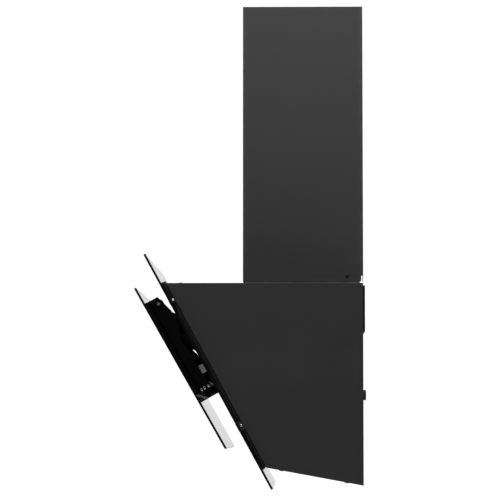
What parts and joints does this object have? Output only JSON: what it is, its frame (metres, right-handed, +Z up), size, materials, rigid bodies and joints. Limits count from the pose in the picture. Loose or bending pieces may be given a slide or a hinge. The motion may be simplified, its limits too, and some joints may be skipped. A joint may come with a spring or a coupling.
{
  "type": "inclined cooker hood",
  "caption": "Wall-mounted inclined cooker hood with a parallel-lifting glass flap, a telescopic chimney, a blower and grease filters.",
  "frame": {"origin": "middle of the wall rail screw row, on the wall", "axes": "+Z up along the chimney, -Y out of the wall towards the cook, +X across the hood"},
  "size_m": [0.6, 0.4074, 0.8789],
  "materials": {
    "black_steel": "satin black powder coat",
    "chimney_steel": "satin black powder coat",
    "back_steel": "thin grey coat",
    "rail_steel": "matt black coat",
    "dark_screws": "black oxide",
    "bright_screws": "bright zinc",
    "main_glass": "black tempered glass, polished edge",
    "flap_glass": "black tempered glass, polished edge",
    "frame_steel": "grey",
    "tray_steel": "matt black coat",
    "zinc_steel": "galvanised",
    "arm_steel": "satin black coat",
    "rod_aluminium": "satin",
    "filter_aluminium": "satin",
    "seal_rubber": "matt",
    "black_plastic": "fine grain",
    "spring_steel": "plain",
    "white_plastic": "matt",
    "motor_steel": "dull",
    "lamp_metal": "satin",
    "lamp_lens": "frosted",
    "circuit_board": "green lacquer"
  },
  "bodies": {
    "root": {"side_panel_left": "black_steel", "side_panel_right": "black_steel", "top_panel": "black_steel", "bottom_panel": "black_steel", "chimney_outer": "chimney_steel", "back_panel": "back_steel", "wall_rail": "rail_steel", "glass_brackets": "rail_steel", "body_screws": "dark_screws", "chimney_screws": "dark_screws", "bracket_screws": "bright_screws", "main_glass": "main_glass", "front_frame": "frame_steel", "side_channels": "zinc_steel", "filter_frame": "zinc_steel", "arm_brackets": "zinc_steel", "scroll_band": "zinc_steel", "scroll_side_left": "zinc_steel", "scroll_side_right": "zinc_steel", "motor_bracket": "zinc_steel", "chimney_brackets": "zinc_steel", "damper_rod": "zinc_steel", "filter_left": "filter_aluminium", "filter_right": "filter_aluminium", "filter_mesh": "filter_aluminium", "front_gasket": "seal_rubber", "glass_buffers": "seal_rubber", "wall_spacers": "seal_rubber", "rod_guides": "black_plastic", "cable_gland": "black_plastic", "duct_collar": "black_plastic", "latch_springs": "spring_steel", "capacitor": "white_plastic", "control_box": "white_plastic", "control_cover": "white_plastic", "led_driver": "white_plastic", "motor": "motor_steel", "lamps": "lamp_metal", "lamp_lenses": "lamp_lens", "touch_board": "circuit_board"},
    "lift_arm_left": {"lift_arm_left": "arm_steel", "arm_pin_left": "bright_screws"},
    "lift_arm_right": {"lift_arm_right": "arm_steel", "arm_pin_right": "bright_screws"},
    "flap": {"flap_glass": "flap_glass", "flap_frame": "frame_steel", "flap_pan": "tray_steel", "cheek_left": "tray_steel", "cheek_right": "tray_steel", "cheek_rivets": "bright_screws", "flap_lugs": "tray_steel"},
    "rod_left": {"rod_left": "rod_aluminium"},
    "rod_right": {"rod_right": "rod_aluminium"},
    "impeller": {"impeller": "white_plastic", "motor_shaft": "bright_screws"},
    "damper_front": {"damper_front": "white_plastic"},
    "damper_back": {"damper_back": "white_plastic"},
    "chimney_inner": {"chimney_inner": "chimney_steel"},
    "latch_left": {"latch_left": "black_plastic"},
    "latch_right": {"latch_right": "black_plastic"}
  },
  "joints": [
    {"name": "flap_lift", "type": "hinge", "parent": "root", "child": "lift_arm_left", "pos_m": [-0.24, -0.26369, -0.11454], "axis": [1, 0, 0], "range_deg": [-13.46, 0]},
    {"name": "right_arm", "type": "hinge", "parent": "root", "child": "lift_arm_right", "pos_m": [0.24, -0.26369, -0.11454], "axis": [1, 0, 0], "range_deg": [-13.96, 0.5]},
    {"name": "flap_turn", "type": "hinge", "parent": "lift_arm_left", "child": "flap", "pos_m": [-0.24, -0.365, 0.00505], "axis": [1, 0, 0], "range_deg": [-0.5, 12.91]},
    {"name": "rod_left_push", "type": "slide", "parent": "root", "child": "rod_left", "axis": [0, -0.878, -0.4787], "range_m": [-0.03459, 0.0005]},
    {"name": "rod_right_push", "type": "slide", "parent": "root", "child": "rod_right", "axis": [0, -0.878, -0.4787], "range_m": [-0.03459, 0.0005]},
    {"name": "impeller_spin", "type": "hinge", "parent": "root", "child": "impeller", "pos_m": [0, -0.104, -0.1], "axis": [1, 0, 0], "continuous": true},
    {"name": "damper_front_lift", "type": "hinge", "parent": "root", "child": "damper_front", "pos_m": [0, -0.115, 0.076], "axis": [-1, 0, 0], "range_deg": [0, 80]},
    {"name": "damper_back_lift", "type": "hinge", "parent": "root", "child": "damper_back", "pos_m": [0, -0.105, 0.076], "axis": [1, 0, 0], "range_deg": [0, 80]},
    {"name": "chimney_slide", "type": "slide", "parent": "root", "child": "chimney_inner", "axis": [0, 0, 1], "range_m": [0, 0.38]},
    {"name": "latch_left_slide", "type": "slide", "parent": "root", "child": "latch_left", "axis": [0, -0.4787, 0.878], "range_m": [0, 0.005], "stiffness_N_per_m": 300, "springref_m": -0.004, "deforming": ["latch_springs"]},
    {"name": "latch_right_slide", "type": "slide", "parent": "root", "child": "latch_right", "axis": [0, -0.4787, 0.878], "range_m": [0, 0.005], "stiffness_N_per_m": 300, "springref_m": -0.004, "deforming": ["latch_springs"]}
  ],
  "couplings": [
    {"joint": "right_arm", "follows": "flap_lift", "ratio": 1},
    {"joint": "flap_turn", "follows": "flap_lift", "ratio": -0.922},
    {"joint": "rod_left_push", "follows": "flap_lift", "m_per_rad": 0.14511},
    {"joint": "rod_right_push", "follows": "flap_lift", "m_per_rad": 0.14511}
  ]
}
